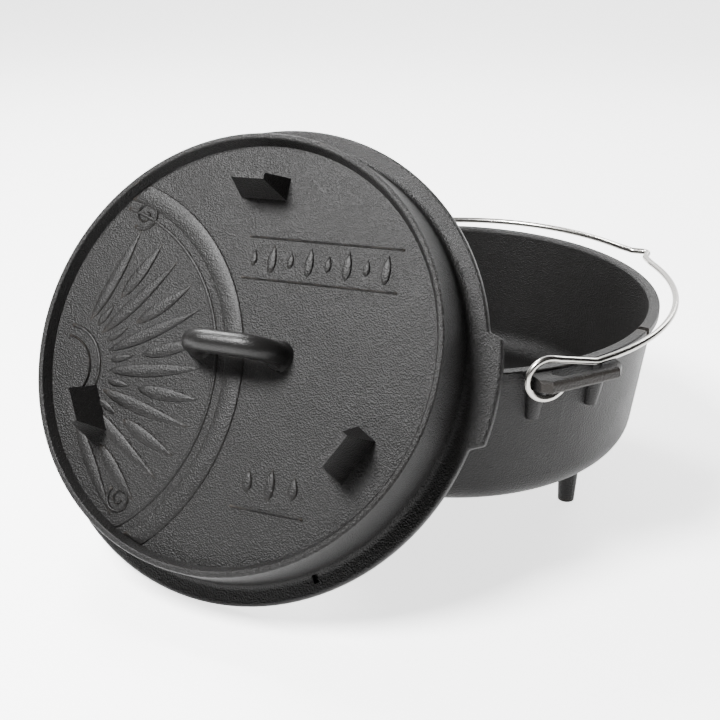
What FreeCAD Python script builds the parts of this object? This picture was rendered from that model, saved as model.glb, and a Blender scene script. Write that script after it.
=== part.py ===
import FreeCAD, Part
import Sketcher
import math
import os

from FreeCAD import Placement, Rotation, Vector

# A legged cast iron camp oven: a tapered pot, a deep lid that leans against the
# pot's rim, and a stainless wire bail folded down round the rim.
# Millimetres, +Z up. The pot's feet stand on z = 0 and its ears lie along X.

SIZES = [
    # where the pot's axis stands, so that the whole object is centred on the origin
    ("pot_x", -3.12), ("pot_y", 60.1),
    # bowl
    ("rim_height", 138.9), ("rim_radius", 146.0), ("rim_inner", 138.6),
    ("band_height", 8.0), ("band_top", 5.0), ("wall_top", 142.3),
    ("base_radius", 131.7), ("base_height", 38.1), ("base_round", 22.0),
    ("wall", 5.4), ("floor_wall", 5.5), ("rim_round", 1.0), ("rim_inner_round", 2.3),
    # legs
    ("leg_circle", 101.0), ("leg_angle", 30.0), ("leg_tip", 5.7), ("leg_root", 7.8),
    ("leg_round", 3.0),
    # ear handles: a bar on two arms, with a slot between the bar and the bowl
    ("ear_top", 137.2), ("ear_thick", 8.2), ("ear_reach", 161.0), ("ear_half", 29.5),
    ("ear_root_half", 29.5), ("ear_corner", 5.0), ("slot_inner", 146.3),
    ("slot_outer", 154.0), ("slot_half", 18.0), ("ear_round", 2.8),
    # half-cone ribs under each ear
    ("rib_side", 22.0), ("rib_top_radius", 7.0), ("rib_top_centre", 141.5),
    ("rib_foot_radius", 4.2), ("rib_foot_centre", 138.3), ("rib_foot", 104.5),
    # thermometer notch in the rim
    ("notch_angle", 31.0), ("notch_width", 5.0), ("notch_depth", 4.5),
    # lid, drawn flat with the flange's top face at z = 0 and its tabs along X
    ("flange_radius", 152.0), ("flange_thick", 6.5), ("flange_round", 2.0),
    ("lid_wall_foot", 139.4), ("lip_outer", 135.8), ("lip_height", 35.6),
    ("lip_inner", 132.3), ("plate_radius", 129.6), ("plate_top", 28.5),
    ("plate_thick", 6.5), ("pan_radius", 131.2), ("pan_mouth", 133.8),
    ("pan_round", 9.0), ("foot_fillet", 4.0), ("lip_round", 1.2),
    ("tab_radius", 160.0), ("tab_half", 31.5), ("tab_root_half", 36.0),
    ("tab_root", 145.0), ("tab_corner", 2.8),
    ("lug_inner", 95.0), ("lug_outer", 110.0), ("lug_half", 16.0),
    ("lug_tip_inner", 100.0), ("lug_tip_outer", 104.0), ("lug_tip_half", 11.0),
    ("lug_height", 25.0), ("lug_sink", 2.0),
    ("grip_x", 5.0), ("grip_half", 27.5), ("grip_rise", 21.0), ("grip_bend", 17.0),
    ("grip_radius", 7.0), ("grip_sink", 3.0),
    ("lid_notch_angle", -60.5), ("lid_notch_inner", 138.5), ("lid_notch_length", 7.0),
    ("lid_notch_width", 3.5), ("lid_notch_depth", 2.5),
    # how the lid leans: where its centre is from the pot's axis, and its turn
    ("lean_x", 32.25), ("lean_y", -160.5), ("lean_yaw", -52.9), ("lean_tilt", 56.26),
    ("lean_roll", 93.4),
    # bail: round wire hooked round one arm of each ear, on a line through the axis
    ("wire_radius", 2.15), ("pivot_height", 134.5), ("pivot_yaw", -7.9),
    ("bail_rest", 1.7), ("hook_span", 151.0), ("hook_radius", 12.9),
    ("hook_leave", 75.0), ("hook_tip", 330.0), ("arch_radius", 151.8),
    ("arch_centre", 5.0), ("arch_rise", 4.6), ("arch_start", 14.0),
    ("kink_half", 8.5), ("kink_foot", 158.9), ("kink_peak", 167.9),
    ("kink_shoulder", 27.0), ("kink_turn", 2.6), ("wire_bend", 16.0), ("kink_bend", 4.5),
]

doc = FreeCAD.newDocument("camp_oven")
sheet = doc.addObject("Spreadsheet::Sheet", "Sizes")
for row, (alias, number) in enumerate(SIZES, start=1):
    sheet.set("A%d" % row, alias)
    sheet.set("B%d" % row, str(number))
    sheet.setAlias("B%d" % row, alias)
doc.recompute()


class Size:
    """A number together with the spreadsheet expression that it comes from."""

    def __init__(self, value, text):
        self.value = float(value)
        self.text = text

    def combine(self, other, sign, value):
        other_text = other.text if isinstance(other, Size) else repr(other)
        return Size(value, "(%s %s %s)" % (self.text, sign, other_text))

    def __add__(self, other):
        return self.combine(other, "+", self.value + float(other))

    def __sub__(self, other):
        return self.combine(other, "-", self.value - float(other))

    def __mul__(self, other):
        return self.combine(other, "*", self.value * float(other))

    def __truediv__(self, other):
        return self.combine(other, "/", self.value / float(other))

    def __neg__(self):
        return Size(-self.value, "(0 - %s)" % self.text)

    def __float__(self):
        return self.value

    def cos(self):
        return Size(math.cos(math.radians(self.value)), "cos(%s * 1 deg)" % self.text)

    def sin(self):
        return Size(math.sin(math.radians(self.value)), "sin(%s * 1 deg)" % self.text)


def size(alias):
    return Size(getattr(sheet, alias), "Sizes." + alias)


ZERO = Size(0.0, "0")


# ---- helpers -------------------------------------------------------------------

def new_body(name):
    body = doc.addObject("PartDesign::Body", name)
    body.Label = name
    return body


def origin_feature(body, role):
    return next(f for f in body.Origin.OriginFeatures if f.Role == role)


def new_sketch(body, name, plane="XY_Plane", level=ZERO):
    """A sketch on one of the body's own planes, raised by level along its normal."""
    sketch = body.newObject("Sketcher::SketchObject", name)
    sketch.AttachmentSupport = (origin_feature(body, plane), [""])
    sketch.MapMode = "FlatFace"
    sketch.AttachmentOffset = Placement(Vector(0, 0, level.value), Rotation())
    sketch.setExpression("AttachmentOffset.Base.z", level.text)
    return sketch


def bind(sketch, kind, *arguments, length):
    """Add a driving constraint whose value is the length's expression."""
    index = sketch.addConstraint(Sketcher.Constraint(kind, *arguments, float(length)))
    sketch.setExpression("Constraints[%d]" % index, length.text)


def fix_point(sketch, line, end, point):
    bind(sketch, "DistanceX", -1, 1, line, end, length=point[0])
    bind(sketch, "DistanceY", -1, 1, line, end, length=point[1])


def draw_polygon(sketch, points):
    """A closed outline of straight lines, every corner driven by the sheet."""
    vectors = [Vector(float(x), float(y), 0) for x, y in points]
    count = len(points)
    for i in range(count):
        sketch.addGeometry(Part.LineSegment(vectors[i], vectors[(i + 1) % count]), False)
    for i in range(count):
        sketch.addConstraint(Sketcher.Constraint("Coincident", i, 2, (i + 1) % count, 1))
        fix_point(sketch, i, 1, points[i])


def draw_circle(sketch, centre, radius):
    middle = Vector(float(centre[0]), float(centre[1]), 0)
    sketch.addGeometry(Part.Circle(middle, Vector(0, 0, 1), float(radius)), False)
    fix_point(sketch, 0, 3, centre)
    bind(sketch, "Radius", 0, length=radius)


def revolve(body, kind, name, outline):
    """Turn an outline drawn on the XZ plane once round the body's Z axis."""
    sketch = new_sketch(body, name + "_outline", "XZ_Plane")
    draw_polygon(sketch, outline)
    feature = body.newObject("PartDesign::" + kind, name)
    feature.Profile = sketch
    feature.ReferenceAxis = (sketch, ["V_Axis"])
    feature.Angle = 360
    doc.recompute()
    return feature


def loft(body, name, lower, upper):
    feature = body.newObject("PartDesign::AdditiveLoft", name)
    feature.Profile = lower
    feature.Sections = [upper]
    doc.recompute()
    return feature


def pad(body, name, sketch, length, kind="Pad"):
    feature = body.newObject("PartDesign::" + kind, name)
    feature.Profile = sketch
    feature.setExpression("Length", length.text)
    doc.recompute()
    return feature


def polar(body, name, originals, count):
    """Repeat features round the body's Z axis."""
    pattern = body.newObject("PartDesign::PolarPattern", name)
    pattern.Originals = originals
    pattern.Axis = (origin_feature(body, "Z_Axis"), [""])
    pattern.Angle = 360
    pattern.Occurrences = count
    body.Tip = pattern
    doc.recompute()
    return pattern


def round_edges(body, name, radius, wanted):
    """Fillet every edge of the body so far that the test picks out."""
    base = body.Tip
    names = ["Edge%d" % i for i, edge in enumerate(base.Shape.Edges, start=1)
             if not edge.Degenerated and wanted(edge)]
    if not names:
        raise RuntimeError("no edge for " + name)
    feature = body.newObject("PartDesign::Fillet", name)
    feature.Base = (base, names)
    feature.setExpression("Radius", radius.text)
    doc.recompute()
    return feature


def is_ring(edge, radius, height, slack=0.05):
    """True for a circle round the Z axis with this radius and height."""
    if edge.Degenerated or not isinstance(edge.Curve, Part.Circle):
        return False
    centre = edge.Curve.Center
    on_axis = math.hypot(centre.x, centre.y) < slack
    return (on_axis and abs(edge.Curve.Radius - float(radius)) < slack
            and abs(centre.z - float(height)) < slack)


def cut_box(body, name, angle, inner, length, width, bottom, height):
    """Cut a radial slot: a box that starts at inner and points along the angle."""
    box = body.newObject("PartDesign::SubtractiveBox", name)
    box.AttachmentSupport = (origin_feature(body, "XY_Plane"), [""])
    box.MapMode = "FlatFace"
    along, across = angle.cos(), angle.sin()
    box.AttachmentOffset = Placement(Vector(), Rotation(Vector(0, 0, 1), angle.value))
    box.setExpression("AttachmentOffset.Base.x",
                      (inner * along + width / 2 * across).text)
    box.setExpression("AttachmentOffset.Base.y",
                      (inner * across - width / 2 * along).text)
    box.setExpression("AttachmentOffset.Base.z", bottom.text)
    box.setExpression("Length", length.text)
    box.setExpression("Width", width.text)
    box.setExpression("Height", height.text)
    doc.recompute()
    return box


# ---- pot: one casting ----------------------------------------------------------

def build_pot():
    body = new_body("pot")
    rim_height, rim_radius = size("rim_height"), size("rim_radius")
    base_radius, base_height = size("base_radius"), size("base_height")
    band_foot = rim_height - size("band_height")
    band_top = rim_height - size("band_top")
    wall_top = size("wall_top")

    revolve(body, "Revolution", "bowl", [
        (ZERO, base_height), (base_radius, base_height), (wall_top, band_foot),
        (rim_radius, band_top), (rim_radius, rim_height), (ZERO, rim_height)])
    round_edges(body, "base_corner", size("base_round"),
                lambda e: is_ring(e, base_radius, base_height))

    add_legs(body)
    add_ears(body)
    hollow_bowl(body)

    notch_depth = size("notch_depth")
    cut_box(body, "rim_notch", size("notch_angle"), size("rim_inner") - 6,
            size("rim_radius") - size("rim_inner") + 12, size("notch_width"),
            rim_height - notch_depth, notch_depth + 1)
    return body


def add_legs(body):
    """Three tapered legs under the flat of the base."""
    angle, circle = size("leg_angle"), size("leg_circle")
    centre = (circle * angle.cos(), circle * angle.sin())
    base_height = size("base_height")
    tip = new_sketch(body, "leg_tip_circle")
    draw_circle(tip, centre, size("leg_tip"))
    root = new_sketch(body, "leg_root_circle", level=base_height + 2)
    draw_circle(root, centre, size("leg_root"))
    leg = loft(body, "leg", tip, root)
    polar(body, "legs", [leg], 3)

    def at_root(edge):
        box = edge.BoundBox
        flat = abs(box.ZMax - base_height.value) < 0.01 and abs(box.ZMin - box.ZMax) < 0.01
        return flat and math.hypot(*edge.CenterOfMass[:2]) < 115 and box.XLength < 40

    round_edges(body, "leg_roots", size("leg_round"), at_root)


def add_ears(body):
    """Two cast ear handles with two ribs under each, drawn at +X and repeated."""
    top, thick = size("ear_top"), size("ear_thick")
    reach, half, root_half = size("ear_reach"), size("ear_half"), size("ear_root_half")
    corner, inside = size("ear_corner"), size("rim_inner") - 25
    bottom = top - thick

    def corners(side):
        return [(inside, root_half * side), (size("rim_radius") + 1, root_half * side),
                (size("rim_radius") + 5, half * side), (reach - corner, half * side),
                (reach, (half - corner) * side)]

    plan = new_sketch(body, "ear_plan", level=bottom)
    draw_polygon(plan, corners(-1) + corners(1)[::-1])
    ear = pad(body, "ear", plan, thick)

    ribs = []
    for name, side in (("left", -1), ("right", 1)):
        across = size("rib_side") * side
        foot = new_sketch(body, name + "_rib_foot", level=size("rib_foot"))
        draw_circle(foot, (size("rib_foot_centre"), across), size("rib_foot_radius"))
        head = new_sketch(body, name + "_rib_head", level=bottom + 1)
        draw_circle(head, (size("rib_top_centre"), across), size("rib_top_radius"))
        ribs.append(loft(body, name + "_rib", foot, head))

    slot_plan = new_sketch(body, "slot_plan", level=top + 1)
    slot_half, chamfer = size("slot_half"), 2.5
    inner, outer = size("slot_inner"), size("slot_outer")
    draw_polygon(slot_plan, [
        (inner, slot_half - chamfer), (inner, -(slot_half - chamfer)),
        (inner + chamfer, -slot_half), (outer - chamfer, -slot_half),
        (outer, -(slot_half - chamfer)), (outer, slot_half - chamfer),
        (outer - chamfer, slot_half), (inner + chamfer, slot_half)])
    before = body.Shape.Volume
    slot = pad(body, "ear_slot", slot_plan, thick + 2, kind="Pocket")
    if not before - body.Shape.Volume > 1000:
        raise RuntimeError("the ear's slot cut nothing")
    polar(body, "ears", [ear] + ribs + [slot], 2)

    def on_bar(edge):
        box = edge.BoundBox
        outside = min(abs(box.XMin), abs(box.XMax)) > size("slot_outer").value - 0.1
        level = abs(box.ZMax - box.ZMin) < 0.01
        return outside and level

    round_edges(body, "ear_edges", size("ear_round"), on_bar)


def hollow_bowl(body):
    """Turn out the inside of the bowl up to its rounded inner rim."""
    wall, rim_height = size("wall"), size("rim_height")
    floor = size("base_height") + size("floor_wall")
    inner_base = size("base_radius") - wall
    above = rim_height + 5
    before = body.Shape.Volume
    revolve(body, "Groove", "cavity", [
        (ZERO, floor), (inner_base, floor), (size("rim_inner"), rim_height),
        (size("rim_inner"), above), (ZERO, above)])
    if not before - body.Shape.Volume > 1e6:
        raise RuntimeError("the cavity cut nothing")
    round_edges(body, "floor_corner", size("base_round") - size("wall"),
                lambda e: is_ring(e, inner_base, floor))
    round_edges(body, "rim_inner_edge", size("rim_inner_round"),
                lambda e: is_ring(e, size("rim_inner"), rim_height))
    round_edges(body, "rim_outer_edge", size("rim_round"),
                lambda e: is_ring(e, size("rim_radius"), rim_height))


# ---- lid: one casting ----------------------------------------------------------

def build_lid():
    body = new_body("lid")
    flange, thick = size("flange_radius"), size("flange_thick")
    wall_foot, plate_top = size("lid_wall_foot"), size("plate_top")
    under_plate = plate_top - size("plate_thick")
    lip = size("lip_height")

    revolve(body, "Revolution", "shell", [
        (ZERO, under_plate), (size("pan_radius"), under_plate),
        (size("pan_mouth"), -thick), (flange, -thick), (flange, ZERO),
        (wall_foot, ZERO), (size("lip_outer"), lip), (size("lip_inner"), lip),
        (size("plate_radius"), plate_top), (ZERO, plate_top)])
    round_edges(body, "pan_corner", size("pan_round"),
                lambda e: is_ring(e, size("pan_radius"), under_plate))
    round_edges(body, "wall_foot", size("foot_fillet"),
                lambda e: is_ring(e, wall_foot, ZERO))
    round_edges(body, "lip_edges", size("lip_round"),
                lambda e: is_ring(e, size("lip_outer"), lip)
                or is_ring(e, size("lip_inner"), lip))

    add_tabs(body, thick)
    add_lugs(body, plate_top)
    add_grip(body, plate_top)
    cut_box(body, "lid_notch", size("lid_notch_angle"), size("lid_notch_inner"),
            size("lid_notch_length"), size("lid_notch_width"),
            -size("lid_notch_depth"), size("lid_notch_depth") + 1)
    return body


def add_tabs(body, thick):
    """Two grip tabs that widen the flange, each with a concentric outer edge."""
    sketch = new_sketch(body, "tab_plan", level=-thick)
    radius, half = size("tab_radius"), size("tab_half")
    root, root_half = size("tab_root"), size("tab_root_half")
    turn = math.asin(half.value / radius.value)
    ends = [Vector(radius.value * math.cos(turn), side * half.value, 0) for side in (-1, 1)]
    roots = [Vector(root.value, side * root_half.value, 0) for side in (-1, 1)]
    circle = Part.Circle(Vector(), Vector(0, 0, 1), radius.value)
    sketch.addGeometry(Part.LineSegment(roots[1], roots[0]), False)
    sketch.addGeometry(Part.LineSegment(roots[0], ends[0]), False)
    sketch.addGeometry(Part.ArcOfCircle(circle, -turn, turn), False)
    sketch.addGeometry(Part.LineSegment(ends[1], roots[1]), False)
    for first, second in (((0, 2), (1, 1)), ((1, 2), (2, 1)), ((2, 2), (3, 1)),
                          ((3, 2), (0, 1)), ((2, 3), (-1, 1))):
        sketch.addConstraint(Sketcher.Constraint("Coincident", *first, *second))
    bind(sketch, "Radius", 2, length=radius)
    bind(sketch, "DistanceY", -1, 1, 1, 2, length=-half)
    bind(sketch, "DistanceY", -1, 1, 3, 1, length=half)
    fix_point(sketch, 0, 1, (root, root_half))
    fix_point(sketch, 1, 1, (root, -root_half))
    tab = pad(body, "tab", sketch, thick)
    polar(body, "tabs", [tab], 2)

    flange = size("flange_radius").value

    def upright_corner(edge):
        box = edge.BoundBox
        tall = abs(box.ZLength - thick.value) < 0.01
        return tall and math.hypot(*edge.CenterOfMass[:2]) > flange - 0.5 and box.XLength < 0.1

    round_edges(body, "tab_corners", size("tab_corner"), upright_corner)

    def outer_edge(edge):
        box = edge.BoundBox
        level = abs(box.ZMax - box.ZMin) < 0.01
        on_flange = box.ZMax < 0.01
        middle = edge.valueAt((edge.FirstParameter + edge.LastParameter) / 2)
        return level and on_flange and math.hypot(middle.x, middle.y) > flange - 0.5

    round_edges(body, "flange_edges", size("flange_round"), outer_edge)


def add_lugs(body, plate_top):
    """Three wedge feet on which the lid stands when it is used as a pan."""
    def outline(inner, outer, half):
        return [(half, inner), (half, outer), (-half, outer), (-half, inner)]

    base = new_sketch(body, "lug_base", level=plate_top - size("lug_sink"))
    draw_polygon(base, outline(size("lug_inner"), size("lug_outer"), size("lug_half")))
    tip = new_sketch(body, "lug_tip", level=plate_top + size("lug_height"))
    draw_polygon(tip, outline(size("lug_tip_inner"), size("lug_tip_outer"),
                              size("lug_tip_half")))
    polar(body, "lugs", [loft(body, "lug", base, tip)], 3)


def add_grip(body, plate_top):
    """The loop handle: a round bar bent up out of the plate and back."""
    middle, half = size("grip_x"), size("grip_half")
    foot, crest = plate_top - size("grip_sink"), plate_top + size("grip_rise")
    bend = size("grip_bend")
    shoulder = crest - bend
    path = new_sketch(body, "grip_path", "XZ_Plane")
    left, right = middle - half, middle + half
    span = [(left, foot), (left, shoulder), (left + bend, crest),
            (right - bend, crest), (right, shoulder), (right, foot)]
    points = [Vector(float(x), float(z), 0) for x, z in span]
    quarter = math.pi / 2
    left_circle = Part.Circle(Vector(points[2].x, points[1].y, 0), Vector(0, 0, 1), bend.value)
    right_circle = Part.Circle(Vector(points[3].x, points[1].y, 0), Vector(0, 0, 1), bend.value)
    path.addGeometry(Part.LineSegment(points[0], points[1]), False)
    path.addGeometry(Part.ArcOfCircle(left_circle, quarter, 2 * quarter), False)
    path.addGeometry(Part.LineSegment(points[2], points[3]), False)
    path.addGeometry(Part.ArcOfCircle(right_circle, 0, quarter), False)
    path.addGeometry(Part.LineSegment(points[4], points[5]), False)
    for first, second in (((0, 2), (1, 2)), ((1, 1), (2, 1)), ((2, 2), (3, 2)),
                          ((3, 1), (4, 1))):
        path.addConstraint(Sketcher.Constraint("Coincident", *first, *second))
    for line, end, point in ((0, 1, span[0]), (0, 2, span[1]), (2, 1, span[2]),
                             (2, 2, span[3]), (4, 1, span[4]), (4, 2, span[5])):
        fix_point(path, line, end, point)
    for arc in (1, 3):
        bind(path, "Radius", arc, length=bend)

    section = new_sketch(body, "grip_section", level=foot)
    draw_circle(section, (left, ZERO), size("grip_radius"))
    grip = body.newObject("PartDesign::AdditivePipe", "grip")
    grip.Profile = section
    grip.Spine = (path, ["Edge%d" % i for i in range(1, 6)])
    doc.recompute()


# ---- bail: one bent wire -------------------------------------------------------

def rounded_run(points, radius):
    """Edges along a line of points, with its corners rounded by tangent arcs."""
    edges = []
    here = points[0]
    for before, corner, after in zip(points, points[1:], points[2:]):
        back = (before - corner).normalize()
        ahead = (after - corner).normalize()
        turn = math.pi - back.getAngle(ahead)
        reach = radius * math.tan(turn / 2)
        start, end = corner + back * reach, corner + ahead * reach
        toward_centre = (back + ahead).normalize()
        depth = radius / math.cos(turn / 2) - radius
        edges.append(Part.LineSegment(here, start).toShape())
        edges.append(Part.Arc(start, corner + toward_centre * depth, end).toShape())
        here = end
    edges.append(Part.LineSegment(here, points[-1]).toShape())
    return edges


def mirrored(points):
    return [Vector(-p.x, p.y, p.z) for p in reversed(points)]


def build_bail():
    """The wire's own frame: X along the pivot line, Y towards the arch, Z off it.

    The wire bends in three planes, so its path is made of straight runs and tangent
    arcs in space and a round section is swept along it.
    """
    span, hook = sheet.hook_span, sheet.hook_radius
    rise, radius, centre = sheet.arch_rise, sheet.arch_radius, sheet.arch_centre

    def on_hook(angle):
        turn = math.radians(angle)
        return Vector(span, hook * math.cos(turn), hook * math.sin(turn))

    def on_arch(angle):
        turn = math.radians(angle)
        return Vector(radius * math.cos(turn), centre + radius * math.sin(turn), rise)

    def along_arch(angle):
        turn = math.radians(angle)
        return Vector(-math.sin(turn), math.cos(turn), 0)

    def turned(point):
        """The kink sits a little to one side of the arch's middle."""
        middle = Vector(0, centre, rise)
        return middle + Rotation(Vector(0, 0, 1), sheet.kink_turn) * (point - middle)

    leave, tip = sheet.hook_leave, sheet.hook_tip
    away = math.radians(leave)
    straight = Vector(0, math.sin(away), -math.cos(away)) * 5.0
    start, off = sheet.arch_start, sheet.kink_turn
    joint = on_arch(start)
    shoulder = math.degrees(math.acos(sheet.kink_shoulder / radius))

    leg = [on_hook(leave), on_hook(leave) + straight,
           joint - along_arch(start) * 8.0, joint]
    half_kink = [on_arch(shoulder), on_arch(shoulder) + along_arch(shoulder) * 7.0,
                 Vector(sheet.kink_half, sheet.kink_foot, rise)]
    kink = half_kink + [Vector(0, sheet.kink_peak, rise)] + mirrored(half_kink)

    def arch_arc(first, last):
        return Part.Arc(on_arch(first), on_arch((first + last) / 2), on_arch(last)).toShape()

    hook_arc = [on_hook(tip), on_hook((leave + tip) / 2), on_hook(leave)]
    edges = [Part.Arc(*hook_arc).toShape()]
    edges += rounded_run(leg, sheet.wire_bend)
    edges.append(arch_arc(start, shoulder + off))
    edges += rounded_run([turned(point) for point in kink], sheet.kink_bend)
    edges.append(arch_arc(180 - shoulder + off, 180 - start))
    edges += rounded_run(mirrored(leg), sheet.wire_bend)
    edges.append(Part.Arc(*mirrored(hook_arc)).toShape())
    path = Part.Wire(edges)

    turn = math.radians(tip)
    heading = Vector(0, math.sin(turn), -math.cos(turn))
    section = Part.Wire(Part.Circle(on_hook(tip), heading, sheet.wire_radius).toShape())
    wire = path.makePipeShell([section], True, False)
    expected = math.pi * sheet.wire_radius ** 2 * path.Length
    if abs(wire.Volume - expected) > 0.01 * expected:
        raise RuntimeError("the bail's volume does not match its length")

    bail = doc.addObject("Part::Feature", "bail")
    bail.Label = "bail"
    bail.Shape = wire
    return bail


# ---- assembly ------------------------------------------------------------------

def lean_lid(lid):
    """Stand the lid on the lowest edge of its flange, leaning towards the pot."""
    tilt = math.radians(sheet.lean_tilt)
    edge = sheet.flange_round
    height = ((sheet.flange_radius - edge) * math.sin(tilt)
              + (sheet.flange_thick - edge) * math.cos(tilt) + edge)
    turn = (Rotation(Vector(0, 0, 1), sheet.lean_yaw)
            * Rotation(Vector(0, 1, 0), sheet.lean_tilt)
            * Rotation(Vector(0, 0, 1), sheet.lean_roll))
    centre = Vector(sheet.pot_x + sheet.lean_x, sheet.pot_y + sheet.lean_y, height)
    lid.Placement = Placement(centre, turn)


def hang_bail(bail):
    """Lay the bail down on the ears, its pivot line through the pot's axis."""
    turn = (Rotation(Vector(0, 0, 1), sheet.pivot_yaw)
            * Rotation(Vector(1, 0, 0), sheet.bail_rest))
    bail.Placement = Placement(Vector(sheet.pot_x, sheet.pot_y, sheet.pivot_height), turn)


pot = build_pot()
pot.Placement = Placement(Vector(sheet.pot_x, sheet.pot_y, 0), Rotation())
lid = build_lid()
lean_lid(lid)
bail = build_bail()
hang_bail(bail)
doc.recompute()

pieces = [pot, lid, bail]
for item in doc.Objects:
    if "Invalid" in item.State or "Error" in item.State:
        raise RuntimeError("%s failed: %s" % (item.Name, item.State))
for piece in pieces:
    if piece.Shape.isNull() or not piece.Shape.isValid():
        raise RuntimeError(piece.Label + " has no valid shape")

os.makedirs("parts", exist_ok=True)
whole = FreeCAD.BoundBox()
for piece in pieces:
    piece.Shape.exportStep("parts/%s.step" % piece.Label)
    whole.add(piece.Shape.BoundBox)
    print("%-6s %d solid, %.0f cm3" % (piece.Label, len(piece.Shape.Solids),
                                      piece.Shape.Volume / 1000))
print("whole box", whole)
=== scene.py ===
import math

import bmesh
import bpy
from bpy.props import FloatProperty, FloatVectorProperty, IntProperty, PointerProperty
from mathutils import Matrix, Vector


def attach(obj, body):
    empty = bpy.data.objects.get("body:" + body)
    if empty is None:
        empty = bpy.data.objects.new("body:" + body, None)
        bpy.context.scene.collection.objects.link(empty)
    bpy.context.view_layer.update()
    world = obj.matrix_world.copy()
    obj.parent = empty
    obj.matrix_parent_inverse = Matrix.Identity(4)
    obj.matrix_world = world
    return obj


bl_info = {
    "name": "Camp Oven",
    "version": (1, 0, 0),
    "blender": (4, 5, 0),
    "location": "3D View > Sidebar > Camp Oven",
    "description": "Finishes, lid relief, grip and studio for a legged cast iron camp oven",
    "category": "Add Mesh",
}

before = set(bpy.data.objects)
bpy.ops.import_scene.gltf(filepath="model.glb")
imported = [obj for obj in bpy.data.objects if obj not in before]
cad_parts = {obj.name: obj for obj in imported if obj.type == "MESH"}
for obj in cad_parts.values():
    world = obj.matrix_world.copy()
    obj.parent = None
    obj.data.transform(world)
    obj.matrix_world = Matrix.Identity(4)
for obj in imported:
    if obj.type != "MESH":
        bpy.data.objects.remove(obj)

MM = 0.001
LID_CENTRE = Vector((29.13, -100.4, 129.234))
LID_YAW, LID_TILT, LID_ROLL = (math.radians(turn) for turn in (-52.9, 56.26, 93.4))
# The lid's own frame: Z along its axis, zero on the top face of its flange.
LID = (Matrix.Translation(LID_CENTRE * MM) @ Matrix.Rotation(LID_YAW, 4, "Z")
       @ Matrix.Rotation(LID_TILT, 4, "Y") @ Matrix.Rotation(LID_ROLL, 4, "Z"))
# The relief's sizes are in millimetres on the plate, from the lid's axis.
PLATE_TOP = 28.5
PLATE_RADIUS = 129.4
FAN_CENTRE = Vector((-120.0, -27.0))
STEP = 2.5        # spacing of the points along a line or an arc
LOW = 0.8         # share of the relief's height that its lines and buds reach

# How sharp an edge is when it starts to wear, and when it is worn through.
RUBBED = 0.53, 0.64
# The part of the skin's noise that shows as pale speckles.
SPECKLED = 0.58, 0.78

TARGET = (0.0, 0.0, 0.1)
# Name, place, aim, width in metres and share of the key light's power.
LIGHTS = (
    ("key", (0.10, -0.72, 1.10), (0.0, -0.1, 0.25), 0.4, 1.0),
    ("back", (-1.3, -0.1, 1.45), TARGET, 0.5, 0.8),
    ("rim", (-0.5, 1.4, 1.0), TARGET, 0.5, 0.2),
)
CAMERA_PLACE = Vector((0.64084, -0.33768, 0.42133))
CAMERA_RIGHT = Vector((0.45474, 0.89062, 0.0))
CAMERA_UP = Vector((-0.36462, 0.18617, 0.91235))
SENSOR_WIDTH = 36.0
NEAREST = 0.01


# ---- sizes and colours -----------------------------------------------------------

def colour(name, description, default):
    return FloatVectorProperty(name=name, description=description, default=default,
                               subtype="COLOR", size=3, min=0.0, max=1.0)


def length(name, description, default):
    return FloatProperty(name=name, description=description, default=default,
                         unit="LENGTH", precision=5)


class OvenLooks(bpy.types.PropertyGroup):
    iron: colour("Iron", "Seasoned iron in the open", (0.0048, 0.0046, 0.0045))
    iron_worn: colour("Iron edges", "Iron rubbed lighter along its edges",
                      (0.030, 0.025, 0.021))
    steel: colour("Steel", "The bail's bright wire", (0.36, 0.35, 0.33))
    floor: colour("Floor", "The studio floor and its sweep", (0.86, 0.86, 0.86))
    iron_roughness: FloatProperty(name="Iron roughness", default=0.38, min=0.0, max=1.0,
                                  description="How dull the seasoned iron is")
    grain: length("Grain", "Size of the pebbles in the cast skin", 0.0008)
    grain_depth: length("Grain depth", "How deep the cast skin's pebbles are", 0.0006)
    relief: length("Relief", "How far the lid's ornament stands up", 0.0011)
    line_width: length("Line width", "Width of the thin line inside the raised band",
                       0.0024)
    grip_radius: length("Grip radius", "Radius of the lid's loop handle", 0.0072)
    rays: IntProperty(name="Rays", description="Number of rays in the lid's fan",
                      default=13, min=3, max=40)
    lens: FloatProperty(name="Lens", description="Focal length of the camera",
                        default=57.04, unit="CAMERA")
    key_power: FloatProperty(name="Key light", description="Power of the large soft light",
                             default=80.0, min=0.0)
    floor_glow: FloatProperty(name="Floor glow", default=2.6, min=0.0,
                              description="How much light the floor gives off")
    sky: FloatProperty(name="Sky", description="Strength of the even light all round",
                       default=0.03, min=0.0)


# ---- shader nodes ----------------------------------------------------------------

class Sock:
    """An output socket that can be used in sums."""

    def __init__(self, shader, socket):
        self.shader = shader
        self.socket = socket

    def maths(self, operation, *values):
        return self.shader.node("ShaderNodeMath", {"operation": operation}, *values)

    def __add__(self, other):
        return self.maths("ADD", self, other)

    def __radd__(self, other):
        return self.maths("ADD", other, self)

    def __sub__(self, other):
        return self.maths("SUBTRACT", self, other)

    def __rsub__(self, other):
        return self.maths("SUBTRACT", other, self)

    def __mul__(self, other):
        return self.maths("MULTIPLY", self, other)

    def __rmul__(self, other):
        return self.maths("MULTIPLY", other, self)

    def __truediv__(self, other):
        return self.maths("DIVIDE", self, other)

    def between(self, low, high):
        """0 below low, 1 above high, smooth in between."""
        return self.shader.node("ShaderNodeMapRange",
                                {"interpolation_type": "SMOOTHSTEP"}, self, low, high)


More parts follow.
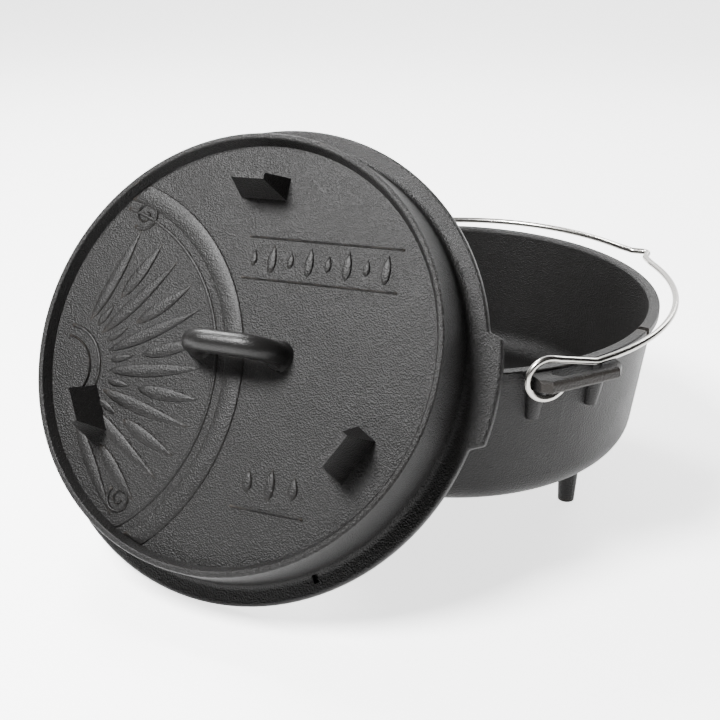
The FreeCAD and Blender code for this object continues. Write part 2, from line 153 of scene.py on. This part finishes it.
class Shader:
    """A material built node by node."""

    def __init__(self, name):
        self.material = bpy.data.materials.new(name)
        self.material.use_nodes = True
        self.tree = self.material.node_tree
        self.surface = self.tree.nodes["Principled BSDF"]

    def put(self, socket, value):
        if isinstance(value, Sock):
            self.tree.links.new(value.socket, socket)
        else:
            socket.default_value = value

    def node(self, kind, settings=None, *values, out=0, **named):
        node = self.tree.nodes.new(kind)
        for key, setting in (settings or {}).items():
            setattr(node, key, setting)
        for socket, value in zip(node.inputs, values):
            self.put(socket, value)
        for key, value in named.items():
            self.put(node.inputs[key], value)
        return Sock(self, node.outputs[out])

    def place(self):
        return self.node("ShaderNodeTexCoord", out="Object")

    def noise(self, scale, detail=3.0, roughness=0.5):
        return self.node("ShaderNodeTexNoise", None, out=0, Vector=self.place(),
                         Scale=scale, Detail=detail, Roughness=roughness)

    def blend(self, factor, first, second):
        """Mix two colours."""
        node = self.tree.nodes.new("ShaderNodeMix")
        node.data_type = "RGBA"
        for index, value in ((0, factor), (6, first), (7, second)):
            self.put(node.inputs[index], value)
        return Sock(self, node.outputs[2])

    def bump(self, height, depth):
        return self.node("ShaderNodeBump", None, Height=height, Distance=depth, Strength=1.0)

    def finish(self, **sockets):
        for key, value in sockets.items():
            self.put(self.surface.inputs[key.replace("_", " ")], value)
        return self.material


def rgba(value):
    return (*value, 1.0)


def make_iron(name, looks, smooth=0.0):
    """Seasoned cast iron: a pebbled skin, patchy sheen and rubbed brown edges."""
    shader = Shader(name)
    pebbles = shader.node("ShaderNodeTexVoronoi", {"feature": "SMOOTH_F1"}, out="Distance",
                          Vector=shader.place(), Scale=0.8 / looks.grain, Smoothness=0.6)
    skin = shader.noise(1.0 / looks.grain, 4.0, 0.6)
    patches = shader.noise(38.0, 3.0)
    drifts = shader.noise(9.0, 2.0)
    edges = shader.node("ShaderNodeNewGeometry", out="Pointiness").between(*RUBBED)
    worn = edges * (0.35 + patches * 0.9)
    speckle = skin.between(*SPECKLED) * 0.35
    tint = shader.blend(worn + speckle * (1.0 - smooth), rgba(looks.iron),
                        rgba(looks.iron_worn))
    height = pebbles * 0.7 + skin * 0.6
    dullness = looks.iron_roughness - smooth * 0.10
    return shader.finish(
        Base_Color=tint, Metallic=0.0, Specular_IOR_Level=0.14,
        Roughness=dullness - 0.06 + patches * 0.16 + drifts * 0.08,
        Normal=shader.bump(height, looks.grain_depth * (1.0 - smooth * 0.72)),
        Coat_Weight=0.01 + smooth * 0.06, Coat_Roughness=0.30)


def make_steel(name, looks):
    """Drawn stainless wire, faintly scuffed."""
    shader = Shader(name)
    scuffs = shader.noise(420.0, 4.0, 0.6)
    drifts = shader.noise(26.0, 2.0)
    tint = shader.blend(drifts, rgba(looks.steel),
                        rgba([part * 0.82 for part in looks.steel]))
    return shader.finish(Base_Color=tint, Metallic=1.0, Roughness=0.17 + scuffs * 0.16,
                         Normal=shader.bump(scuffs, 0.00002))


def make_floor(name, looks):
    """Matt white sweep."""
    shader = Shader(name)
    mottle = shader.noise(3.0, 2.0)
    tint = shader.blend(mottle, rgba(looks.floor),
                        rgba([part * 0.985 for part in looks.floor]))
    return shader.finish(Base_Color=tint, Roughness=0.75 + mottle * 0.1,
                         Specular_IOR_Level=0.2, Emission_Color=rgba(looks.floor),
                         Emission_Strength=looks.floor_glow)


# ---- meshes ----------------------------------------------------------------------

def add_object(name, bm, material):
    mesh = bpy.data.meshes.new(name)
    bmesh.ops.recalc_face_normals(bm, faces=bm.faces)
    bm.to_mesh(mesh)
    bm.free()
    for face in mesh.polygons:
        face.use_smooth = True
    mesh.materials.append(material)
    obj = bpy.data.objects.new(name, mesh)
    bpy.context.scene.collection.objects.link(obj)
    return obj


def add_loft(bm, rings):
    """Skin a row of closed rings of points and cap both ends."""
    rows = [[bm.verts.new(point) for point in ring] for ring in rings]
    count = len(rows[0])
    for first, second in zip(rows, rows[1:]):
        for i in range(count):
            j = (i + 1) % count
            bm.faces.new((first[i], first[j], second[j], second[i]))
    bm.faces.new(rows[0][::-1])
    bm.faces.new(rows[-1])


def ridge(bm, points, widths, height):
    """A low ridge with rounded edges along points in the plate's own plane."""
    thinnest, tip_rise, sink = 0.12, 0.15, 0.6
    rounding, shoulder_in, shoulder_up, crown = 0.9, 0.35, 0.7, 1.05

    def on_plate(spot, up):
        if spot.length > PLATE_RADIUS:
            spot = spot * (PLATE_RADIUS / spot.length)
        return Vector((spot.x, spot.y, PLATE_TOP + up))

    rings = []
    last = len(points) - 1
    for i, point in enumerate(points):
        ahead = (points[min(i + 1, last)] - points[max(i - 1, 0)]).normalized()
        side = Vector((-ahead.y, ahead.x))
        half = max(widths[i] / 2, thinnest)
        rise = height * min(1.0, half / (max(widths) / 2) + tip_rise)
        edge = min(half, rounding)
        flank = [(half, 0.0), (half - edge * shoulder_in, shoulder_up),
                 (half - edge, 1.0)]
        section = flank + [(0.0, crown)] + [(-across, up) for across, up in flank[::-1]]
        ring = [on_plate(point + side * across, rise * up) for across, up in section]
        for sign in (-1, 1):
            ring.append(on_plate(point + side * half * sign, -sink))
        rings.append([LID @ (spot * MM) for spot in ring])
    add_loft(bm, rings)


def ridge_inside(bm, points, widths, height):
    """The stretch of a ridge that lies on the plate."""
    kept = [pair for pair in zip(points, widths) if pair[0].length < PLATE_RADIUS - 1]
    if len(kept) > 3:
        ridge(bm, [point for point, _ in kept], [width for _, width in kept], height)


def even_ridge(bm, points, width, height):
    ridge(bm, points, [width] * len(points), height)


def arc_points(centre, radius, start, end):
    """Points along an arc; those just past the plate are pulled in by ridge."""
    overhang = 5.0
    count = max(2, int(abs(end - start) * radius / STEP))
    turns = [start + (end - start) * i / count for i in range(count + 1)]
    points = [centre + radius * Vector((math.cos(a), math.sin(a))) for a in turns]
    return [point for point in points if point.length < PLATE_RADIUS + overhang]


def line_points(start, level, count):
    return [Vector((start + STEP * i, level)) for i in range(count)]


def leaf(bm, root, angle, size, width, height, bend=0.0):
    """A tapered leaf shape, widest nearer its root, that can curl to one side."""
    steps, tip_width, root_bias, fullness = 12, 0.2, 0.75, 0.8
    points, widths = [], []
    for i in range(steps + 1):
        along = i / steps
        turn = angle + bend * along
        points.append(root + size * along * Vector((math.cos(turn), math.sin(turn))))
        swell = math.sin(math.pi * along ** root_bias) ** fullness if 0 < i < steps else 0
        widths.append(width * swell if swell else tip_width)
    ridge_inside(bm, points, widths, height)


def diamond(bm, across, level, size, width, height):
    """An upright leaf with its middle at the given spot."""
    leaf(bm, Vector((across, level - size / 2)), math.pi / 2, size, width, height)


def scroll(bm, centre, start, size, height):
    """A flat spiral line that winds inwards and thins."""
    steps, turns, width, wind_in, thin = 48, 1.6, 2.4, 0.82, 0.55
    points, widths = [], []
    for i in range(steps + 1):
        along = i / steps
        turn = start + along * turns * 2 * math.pi
        reach = size * (1.0 - wind_in * along)
        points.append(centre + reach * Vector((math.cos(turn), math.sin(turn))))
        widths.append(width * (1.0 - thin * along))
    ridge_inside(bm, points, widths, height)


def build_arcs(looks, material):
    """A raised band with a thin line inside it that parts the plate."""
    band_radius, band_width, band_rise = 124.5, 13.0, 0.8
    line_radius, line_rise = 112.0, 0.7
    reach = 1.35
    bm = bmesh.new()
    for radius, width, rise in ((band_radius, band_width, band_rise),
                                (line_radius, looks.line_width / MM, line_rise)):
        points = arc_points(FAN_CENTRE, radius, -reach, reach)
        even_ridge(bm, points, width, looks.relief / MM * rise)
    return add_object("lid_arcs", bm, material)


def build_fan(looks, material):
    """A plain fan of leaves behind the band, with two scrolls in its corners."""
    first, spread = -0.98, 2.15
    leaf_width, curl = 8.5, 0.05
    long_root, long_size, short_root, short_size = 36.0, 68.0, 60.0, 44.0
    bud_root, bud_size, bud_width = 37.0, 17.0, 5.0
    hub_start, hub_end = -0.7, 1.5
    hub_arcs = (29.0, 2.4), (22.0, 1.6)
    bm = bmesh.new()
    height = looks.relief / MM
    for i in range(looks.rays):
        turn = first + spread * i / (looks.rays - 1)
        ahead = Vector((math.cos(turn), math.sin(turn)))
        is_long = i % 2 == 0
        root = FAN_CENTRE + ahead * (long_root if is_long else short_root)
        leaf(bm, root, turn, long_size if is_long else short_size, leaf_width, height,
             curl)
        if not is_long:
            bud = FAN_CENTRE + ahead * bud_root
            leaf(bm, bud, turn, bud_size, bud_width, height * LOW)
    for radius, width in hub_arcs:
        even_ridge(bm, arc_points(FAN_CENTRE, radius, hub_start, hub_end), width, height)
    scroll(bm, Vector((-82.0, 79.0)), -2.2, 10.0, height)
    scroll(bm, Vector((-56.0, -101.0)), 2.4, 9.0, height)
    return add_object("lid_fan", bm, material)


def build_band(looks, material):
    """A row of plain diamonds, short and tall in turn, between two lines."""
    first, pitch, level, count = 2.0, 12.5, 58.0, 8
    tall, short = (18.0, 6.0), (10.0, 4.5)
    line_start, line_count, line_width, line_gap, margin = -4.0, 42, 1.5, 13.0, 6
    bm = bmesh.new()
    height = looks.relief / MM
    for i in range(count):
        diamond(bm, first + i * pitch, level, *(tall if i % 2 else short), height)
    for edge in (level - line_gap, level + line_gap):
        points = [point for point in line_points(line_start, edge, line_count)
                  if point.length < PLATE_RADIUS - margin]
        even_ridge(bm, points, line_width, height * LOW)
    return add_object("lid_band", bm, material)


def build_marks(looks, material):
    """Three plain diamonds over a line, opposite the band."""
    level, width = -76.0, 6.5
    line_start, line_level, line_count, line_width = 20.0, -92.0, 20, 1.8
    bm = bmesh.new()
    height = looks.relief / MM
    for across, size in ((28.0, 13.0), (43.0, 19.0), (58.0, 13.0)):
        diamond(bm, across, level, size, width, height)
    points = line_points(line_start, line_level, line_count)
    even_ridge(bm, points, line_width, height * LOW)
    return add_object("lid_marks", bm, material)


def build_grip(looks, material):
    """The polished loop handle: a bar that swells at both feet."""
    middle, half, bend = 5.0, 27.5, 17.0
    foot, crest = PLATE_TOP - 1.0, PLATE_TOP + 21.0
    foot_step, foot_steps, bend_steps, sides = 1.2, 3, 10, 40
    swell, swell_height = 2.0, 2.2
    up, across = Vector((0, 0, 1)), Vector((0, 1, 0))
    levels = [foot + foot_step * i for i in range(foot_steps + 1)]
    spots = [(Vector((middle - half, 0, level)), up) for level in levels]
    for side in (-1, 1):
        turns = [math.radians(90) * i / bend_steps for i in range(bend_steps + 1)]
        if side == 1:
            turns = turns[::-1]
        for turn in turns:
            corner = Vector((middle + side * (half - bend), 0, crest - bend))
            spot = corner + bend * Vector((side * math.cos(turn), 0, math.sin(turn)))
            spots.append((spot, Vector((math.sin(turn), 0, -side * math.cos(turn)))))
    spots += [(Vector((middle + half, 0, level)), -up) for level in levels[::-1]]
    bm = bmesh.new()
    rings = []
    for spot, ahead in spots:
        above = max(0.0, spot.z - PLATE_TOP)
        radius = looks.grip_radius / MM + swell * math.exp(-above / swell_height)
        other = ahead.cross(across).normalized()
        ring = []
        for i in range(sides):
            turn = 2 * math.pi * i / sides
            point = spot + radius * (math.cos(turn) * across + math.sin(turn) * other)
            ring.append(LID @ (point * MM))
        rings.append(ring)
    add_loft(bm, rings)
    return add_object("lid_grip", bm, material)


def build_floor(looks, material):
    """A floor that sweeps up behind the object."""
    front, bend_start, bend, top, half = -3.0, 2.2, 1.4, 4.5, 5.0
    steps = 16
    away = Vector((-0.8906, 0.4547, 0.0))
    across = Vector((0.4547, 0.8906, 0.0))
    profile = [(front, 0.0), (bend_start, 0.0)]
    for i in range(1, steps + 1):
        turn = math.radians(90) * i / steps
        profile.append((bend_start + bend * math.sin(turn), bend * (1 - math.cos(turn))))
    profile.append((bend_start + bend, top))
    bm = bmesh.new()
    rows = []
    for distance, level in profile:
        middle = away * distance + Vector((0, 0, level))
        rows.append([bm.verts.new(middle + across * side) for side in (-half, half)])
    for first, second in zip(rows, rows[1:]):
        bm.faces.new((first[0], first[1], second[1], second[0]))
    return add_object("studio_floor", bm, material)


def add_light(name, spot, target, size, power):
    """A soft round light aimed at a spot."""
    light = bpy.data.lights.new(name, "AREA")
    light.shape = "DISK"
    light.size = size
    light.energy = power
    aim = Vector(target) - Vector(spot)
    obj = bpy.data.objects.new(name, light)
    obj.location = spot
    obj.rotation_euler = aim.to_track_quat("-Z", "Y").to_euler()
    bpy.context.scene.collection.objects.link(obj)


# ---- operators -------------------------------------------------------------------

def dress(node, material):
    """Give a piece of the frame its finish."""
    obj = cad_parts[node]
    obj.data.materials.clear()
    obj.data.materials.append(material)


class OVEN_OT_iron(bpy.types.Operator):
    """Give the pot and the lid their seasoned cast iron"""
    bl_idname = "camp_oven.iron"
    bl_label = "Iron castings"

    def execute(self, context):
        material = make_iron("seasoned_iron", context.scene.oven_looks)
        dress("pot", material)
        dress("lid", material)
        return {"FINISHED"}


class OVEN_OT_bail(bpy.types.Operator):
    """Give the bail its bright wire"""
    bl_idname = "camp_oven.bail"
    bl_label = "Wire bail"

    def execute(self, context):
        dress("bail", make_steel("stainless_wire", context.scene.oven_looks))
        return {"FINISHED"}


class OVEN_OT_relief(bpy.types.Operator):
    """Raise the ornament on the lid's plate"""
    bl_idname = "camp_oven.relief"
    bl_label = "Lid relief"

    def execute(self, context):
        looks = context.scene.oven_looks
        material = make_iron("relief_iron", looks, smooth=0.35)
        for build in (build_arcs, build_fan, build_band, build_marks):
            piece = build(looks, material)
            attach(piece, "lid")
        return {"FINISHED"}


class OVEN_OT_grip(bpy.types.Operator):
    """Fit the lid's smooth loop handle"""
    bl_idname = "camp_oven.grip"
    bl_label = "Lid grip"

    def execute(self, context):
        looks = context.scene.oven_looks
        piece = build_grip(looks, make_iron("grip_iron", looks, smooth=0.9))
        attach(piece, "lid")
        return {"FINISHED"}


class OVEN_OT_stage(bpy.types.Operator):
    """Set out the floor, the lights and the camera"""
    bl_idname = "camp_oven.stage"
    bl_label = "Studio"

    def execute(self, context):
        scene = context.scene
        looks = scene.oven_looks
        floor = build_floor(looks, make_floor("studio_white", looks))
        for name, spot, aim, width, share in LIGHTS:
            add_light(name, spot, aim, width, looks.key_power * share)
        world = bpy.data.worlds.new("studio_sky")
        world.use_nodes = True
        backdrop = world.node_tree.nodes["Background"]
        backdrop.inputs["Color"].default_value = (1.0, 1.0, 1.0, 1.0)
        backdrop.inputs["Strength"].default_value = looks.sky
        scene.world = world

        lens = bpy.data.cameras.new("camera")
        lens.lens = looks.lens
        lens.sensor_width = SENSOR_WIDTH
        lens.clip_start = NEAREST
        camera = bpy.data.objects.new("camera", lens)
        axes = Matrix((CAMERA_RIGHT, CAMERA_UP, CAMERA_RIGHT.cross(CAMERA_UP)))
        camera.matrix_world = (Matrix.Translation(CAMERA_PLACE)
                               @ axes.transposed().to_4x4())
        scene.collection.objects.link(camera)
        scene.camera = camera
        return {"FINISHED"}


class OVEN_PT_panel(bpy.types.Panel):
    """Sizes, colours and steps of the camp oven"""
    bl_idname = "OVEN_PT_panel"
    bl_label = "Camp Oven"
    bl_space_type = "VIEW_3D"
    bl_region_type = "UI"
    bl_category = "Camp Oven"

    def draw(self, context):
        looks = context.scene.oven_looks
        for name in looks.bl_rna.properties.keys():
            if name not in ("rna_type", "name"):
                self.layout.prop(looks, name)
        for step in STEPS:
            self.layout.operator(step.bl_idname)


STEPS = (OVEN_OT_iron, OVEN_OT_bail, OVEN_OT_relief, OVEN_OT_grip, OVEN_OT_stage)
CLASSES = (OvenLooks,) + STEPS + (OVEN_PT_panel,)


def register():
    for entry in CLASSES:
        bpy.utils.register_class(entry)
    bpy.types.Scene.oven_looks = PointerProperty(type=OvenLooks)


def unregister():
    del bpy.types.Scene.oven_looks
    for entry in reversed(CLASSES):
        bpy.utils.unregister_class(entry)


def main():
    register()
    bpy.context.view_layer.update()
    bpy.ops.camp_oven.iron()
    bpy.ops.camp_oven.bail()
    bpy.ops.camp_oven.relief()
    bpy.ops.camp_oven.grip()
    bpy.ops.camp_oven.stage()


if __name__ == "__main__":
    main()
